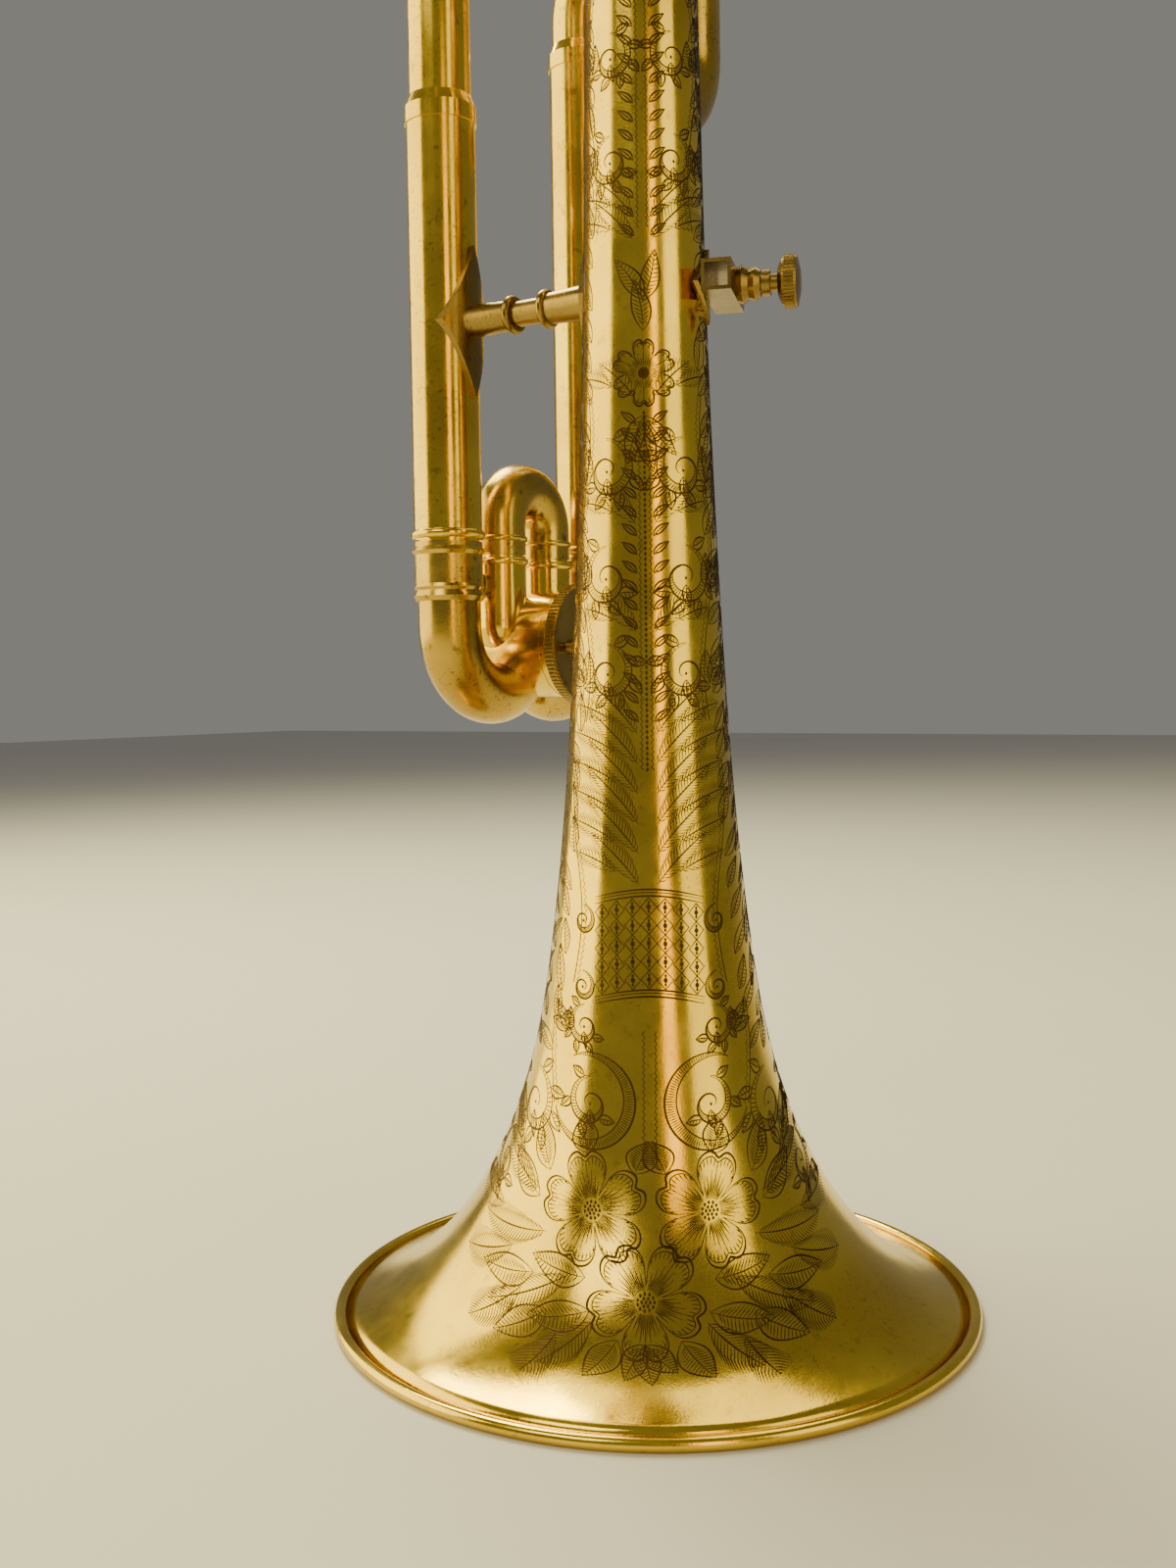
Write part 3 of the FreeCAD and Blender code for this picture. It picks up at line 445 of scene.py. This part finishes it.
# (lean from upright in degrees, distance from the front line, height, length) of each pair of leaves
LEAVES = ((112, 9.6, 12.6, 11), (88, 10.5, 16.5, 10), (30, 18, 30, 9), (62, 20, 26, 10), (104, 20, 16, 12),
          (128, 17, 12, 11), (150, 5, 9.6, 8), (20, 10.5, 33.5, 6), (-20, 2.5, 31, 6), (40, 27, 33, 9))


def flare_bouquet(strokes):
    """Three flowers with leaves and feathers on the flare, under two hatched roundels."""
    for x, z, radius, turn in BLOOMS:
        flower(strokes, x, climb_at(z), radius, 5, turn)
    for side in (-1, 1):
        for lean, length, z, x in FEATHERS:
            feather(strokes, side * x, climb_at(z), math.radians(90 - side * lean), length, 6.4, side * 0.15)
        for lean, x, z, length in LEAVES:
            leaf(strokes, side * x, climb_at(z), math.radians(90 - side * lean), length, 5.0, side, 13, True)
        crescent(strokes, side * 10.2, climb_at(41.5), 7.8, math.radians(90 - side * 30), side * 5.0, 0.26)
        acanthus(strokes, side * 10.4, climb_at(41.0), 4.6, math.radians(90), -side * 1.3, 4)
        acanthus(strokes, side * 24, climb_at(39), 6.2, math.radians(90), side * 1.3)
        acanthus(strokes, side * 33, climb_at(28.5), 5.2, math.radians(90), -side * 1.3, 5)
        acanthus(strokes, side * 36, climb_at(42), 5.0, math.radians(90), side * 1.3, 5)
    for lean in (-38, 0, 38):
        leaf(strokes, -0.6, climb_at(9.2), math.radians(-90 + lean), 6.6, 4.2, 1, 11, True)


# (height, radius, distance from the middle line) of each pair of scrolls on the neck
SCROLLS = ((53, 3.8, 11.8), (112, 5.2, 6.9), (128, 5.6, 7.1), (146, 5.6, 6.8),
           (197, 4.6, 5.6), (214, 4.3, 5.3), (232, 4.2, 5.1), (250, 4.0, 4.9), (268, 3.9, 4.8),
           (286, 3.8, 4.7), (304, 3.7, 4.5), (322, 3.6, 4.4), (340, 3.5, 4.3))
# (height, length) of each pair of feathers on the neck
NECK_FEATHERS = ((77, 12), (82, 14), (87, 14), (92, 13), (97, 13), (102, 12), (119, 9), (137, 9), (158, 9),
                 (184, 11), (188, 10))


def neck_ornament(strokes, turned, chance):
    """Scrolls, leaves and small flowers up the neck, turned round the bell by an angle."""
    def across(z):
        return turned * float(np.interp(z, heights, radii))

    for index, (z, radius, x) in enumerate(SCROLLS):
        for side in (-1, 1):
            flip = side if index % 2 else -side
            acanthus(strokes, across(z) + side * x, climb_at(z), radius, math.radians(90), flip * 1.35)
            for lean, size in ((25, 1.5), (62, 1.3), (-20, 1.1)):
                leaf(strokes, across(z) + side * (x + radius), climb_at(z) - radius * 0.3,
                     math.radians(90 - side * lean), radius * size, radius * 0.6, -side, 8, True)
    for z, length in NECK_FEATHERS:
        for side in (-1, 1):
            feather(strokes, across(z) + side * 1.6, climb_at(z), math.radians(90 - side * 34), length, 4.8,
                    -side * 0.22)
            feather(strokes, across(z) + side * 5.5, climb_at(z) + 2, math.radians(90 - side * 58),
                    length * 0.8, 4.0, -side * 0.25)
    for z in np.arange(104, 350, 3.1):
        if not 154 < z < 182:
            for side in (-1, 1):
                leaf(strokes, across(z) + side * 1.4, climb_at(z), math.radians(90 - side * 40),
                     3.4, 1.1, -side, 2)
    flower(strokes, across(162), climb_at(162), 5.6, 6, math.pi / 2)
    for z, lean in ((169, 0), (174, 24), (174, -24), (154, 180), (155, 150), (155, 210)):
        leaf(strokes, across(z), climb_at(z), math.radians(90 + lean), 8.5, 3.2, 1, 10, True)
    for z in np.arange(48, 360, 5.5):
        radius = float(np.interp(z, heights, radii))
        for angle in (-1.5, -1.22, -0.96, 0.96, 1.22, 1.5):
            leaf(strokes, across(z) + angle * radius, climb_at(z) + chance.uniform(-1, 1),
                 math.radians(90 - math.copysign(chance.uniform(10, 60), angle)), chance.uniform(6, 8),
                 chance.uniform(2.4, 3.4), chance.choice((-1, 1)), 8, chance.random() < 0.6)


def centre_line(strokes):
    """A row of dots between two wriggled lines up the front, and the lines alone above and below."""
    for z in np.arange(96, 156, 0.9):
        strokes.dot(0, climb_at(z), 0.22)
    for side in (-1, 1):
        wriggle(strokes, [(side * 0.9, climb_at(z)) for z in np.arange(96, 156, 2)], 0.5, 0.2)
        wriggle(strokes, [(side * 1.0, climb_at(z)) for z in np.arange(33, 54, 2)], 0.5, 0.2)
        wriggle(strokes, [(side * 0.8, climb_at(z)) for z in np.arange(186, 300, 2)], 0.5, 0.18)


def frame_lines(strokes):
    """Wavy bands that tie the scrolls together at the sides."""
    for side in (-1, 1):
        for shift, z0, z1 in ((17.5, 40, 58), (13.2, 60, 98), (11.4, 104, 160), (9.2, 186, 290)):
            points = [(side * (shift + 1.5 * math.sin(z / 6.5)), climb_at(z)) for z in np.arange(z0, z1, 1.2)]
            wriggle(strokes, points, 0.55, 0.28)
            strokes.line([(x + side * 0.9, y) for x, y in points], 0.13, taper=False)


def cartouche(strokes):
    """A plain lattice panel with dots, between two curved edges and small scrolls."""
    low, high, half = 57.0, 73.5, 9.6
    base, top = climb_at(low), climb_at(high)

    def edge(x, level):
        return level + 1.6 * math.cos(x / half * math.pi / 2)

    for level in (base, top):
        for lift, width in ((0, 0.18), (0.6, 0.10), (1.1, 0.18)):
            strokes.line([(x, edge(x, level) + lift) for x in np.linspace(-half, half, 24)], width)
    rows, columns = 5, 7
    tall, wide = (top - base - 1.6) / rows, 2 * half / columns
    for i in range(rows):
        for j in range(columns):
            x = (j - (columns - 1) / 2) * wide
            y = edge(x, base) + 1.3 + tall * (i + 0.5)
            for side in (-1, 1):
                strokes.line([(x, y - tall / 2), (x + side * wide / 2, y), (x, y + tall / 2)],
                             0.12, taper=False)
            strokes.dot(x, y, 0.34)
            strokes.dot(x, y + 0.75, 0.2)
            strokes.dot(x, y - 0.75, 0.2)
    for side in (-1, 1):
        for z in (59.5, 70.5):
            spiral(strokes, side * (half + 2.6), climb_at(z), 2.8, math.radians(90), side * 1.4)


flare = Strokes("engraving_flare")
flare_bouquet(flare)
flare.finish(engraved)
neck = Strokes("engraving_neck")
neck_ornament(neck, 0.0, random.Random(11))
centre_line(neck)
frame_lines(neck)
cartouche(neck)
neck.finish(engraved)
back = Strokes("engraving_back")
neck_ornament(back, math.pi, random.Random(12))
back.finish(engraved)


# ---------------------------------------------------------------- felts, bell sheet and rim
def valve_felts():
    """A felt washer under each finger button."""
    for number in (1, 2, 3):
        low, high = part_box("finger_button_%d" % number)
        centre = ((low.x + high.x) / 2, high.y, (low.z + high.z) / 2)
        outline = [(0.0, 2.7), (0.0, 4.9), (0.4, 5.3), (1.1, 5.3), (1.5, 4.9), (1.5, 2.7)]
        lathe("button_felt_%d" % number, outline, centre, (0, 1, 0), "valve_%d" % number, "felt")


valve_felts()
bell_shell()
rim_roll()


# ---------------------------------------------------------------- floor, light, camera
def stage_floor():
    bpy.ops.mesh.primitive_plane_add(size=6, location=(0, 0, 0))
    floor = bpy.context.object
    floor.name = "floor"
    material, nodes, links, shader = new_material("floor_paint")
    coords = nodes.new("ShaderNodeTexCoord").outputs["Object"]
    tone = noise(nodes, links, coords, 3)
    paint = blended(nodes, links, tone, (0.60, 0.59, 0.57), (0.66, 0.65, 0.63))
    links.new(paint, shader.inputs["Base Color"])
    shader.inputs["Roughness"].default_value = 0.8
    floor.data.materials.append(material)


def lamp(name, angle, distance, height, width, tall, power, colour, aim=0.14):
    """A soft box at an angle round the bell's axis, in degrees, facing the object."""
    data = bpy.data.lights.new(name, "AREA")
    data.shape, data.size, data.size_y = "RECTANGLE", width, tall
    data.energy, data.color = power, colour
    box = bpy.data.objects.new(name, data)
    a = math.radians(angle)
    box.location = (distance * math.cos(a), distance * math.sin(a), height)
    aimed = Vector((0, 0, aim)) - box.location
    box.rotation_euler = aimed.to_track_quat("-Z", "Y").to_euler()
    bpy.context.collection.objects.link(box)


def stage_light():
    world = bpy.data.worlds.new("studio")
    bpy.context.scene.world = world
    world.use_nodes = True
    background = world.node_tree.nodes["Background"]
    background.inputs["Color"].default_value = (0.68, 0.66, 0.60, 1)
    background.inputs["Strength"].default_value = 0.32
    lamp("left_box", -158, 0.85, 0.28, 1.15, 1.1, 15, (1.0, 0.86, 0.36))
    lamp("front_box", -95, 0.80, 0.85, 0.50, 0.4, 3, (1.0, 0.90, 0.60))
    lamp("right_box", -8, 0.85, 0.30, 0.42, 0.8, 2.2, (1.0, 0.86, 0.42))
    lamp("warm_strip", -42, 0.62, 0.12, 0.13, 0.7, 1.0, (1.0, 0.60, 0.0))
    lamp("overhead_box", 152, 0.55, 0.90, 0.42, 0.5, 12, (1.0, 0.90, 0.52))
    lamp("ceiling_box", 119, 0.50, 1.25, 1.1, 0.9, 9, (1.0, 0.88, 0.48))


def place_camera():
    """The photograph's camera, fitted to the outlines of the bell's rim, the tubes and the change valve."""
    data = bpy.data.cameras.new("camera")
    data.lens, data.sensor_width = 35.3, 36.0
    data.clip_start = 0.01
    camera = bpy.data.objects.new("camera", data)
    right = Vector((0.83713, 0.54683, -0.01349))
    up = Vector((-0.02267, 0.05932, 0.99798))
    back = right.cross(up)
    rotation = Matrix((right, up, back)).transposed().to_4x4()
    camera.matrix_world = Matrix.Translation((0.13909, -0.23241, 0.10972)) @ rotation
    bpy.context.collection.objects.link(camera)
    bpy.context.scene.camera = camera


stage_floor()
stage_light()
place_camera()
